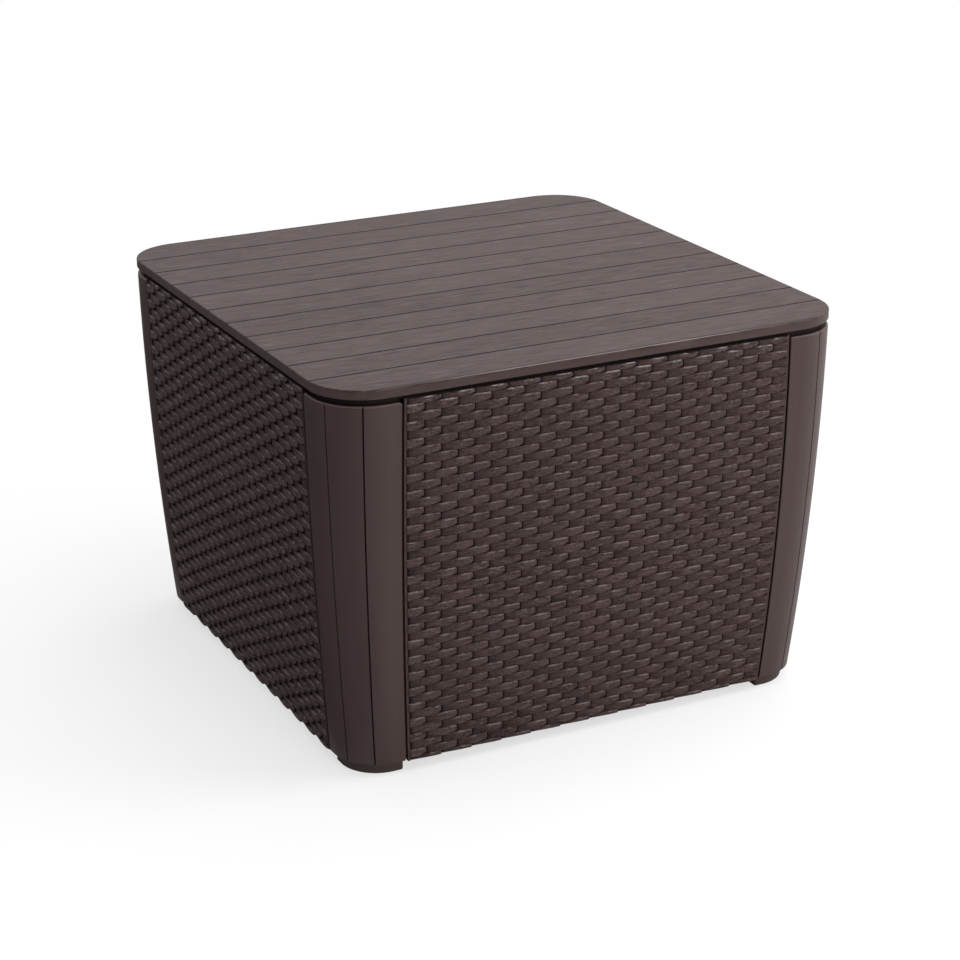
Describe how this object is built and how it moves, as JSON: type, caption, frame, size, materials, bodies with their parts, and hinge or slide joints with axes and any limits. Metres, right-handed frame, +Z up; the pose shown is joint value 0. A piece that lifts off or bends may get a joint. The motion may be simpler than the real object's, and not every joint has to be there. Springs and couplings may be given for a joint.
{
  "type": "propane tank cover table",
  "caption": "Square patio side table with a lift-off plank-look lid, rattan-look walls and corner posts, hollow inside to hide a standing gas cylinder.",
  "frame": {"origin": "middle of the table on the ground, at the bottom face of the feet", "axes": "+Z up; the plank grooves of the lid run along X; the front wall faces -Y and the wall with the hose notch faces +Y"},
  "size_m": [0.72, 0.72, 0.517],
  "materials": {
    "lid_resin": "satin moulded resin with a fine wood grain",
    "post_resin": "satin moulded resin with a faint wood grain",
    "rattan_resin": "satin resin moulded as flat woven rattan",
    "foot_resin": "plain satin resin",
    "inner_resin": "plain matt resin",
    "screw_steel": "zinc-plated steel"
  },
  "bodies": {
    "base": {"floor_panel": "inner_resin", "floor_screws": "screw_steel", "foot_front_left": "foot_resin", "foot_front_right": "foot_resin", "foot_rear_left": "foot_resin", "foot_rear_right": "foot_resin", "foot_screws": "screw_steel", "panel_front": "rattan_resin", "panel_left": "rattan_resin", "panel_rear": "rattan_resin", "panel_right": "rattan_resin", "panel_screws": "screw_steel", "post_inner_front_left": "inner_resin", "post_inner_front_right": "inner_resin", "post_inner_rear_left": "inner_resin", "post_inner_rear_right": "inner_resin", "post_outer_front_left": "post_resin", "post_outer_front_right": "post_resin", "post_outer_rear_left": "post_resin", "post_outer_rear_right": "post_resin", "post_screws": "screw_steel"},
    "lid": {"lid_top": "lid_resin", "lid_liner": "inner_resin", "lid_screws": "screw_steel"}
  },
  "joints": [
    {"name": "lid_lift", "type": "slide", "parent": "base", "child": "lid", "axis": [0, 0, 1], "range_m": [0, 0.3]}
  ]
}
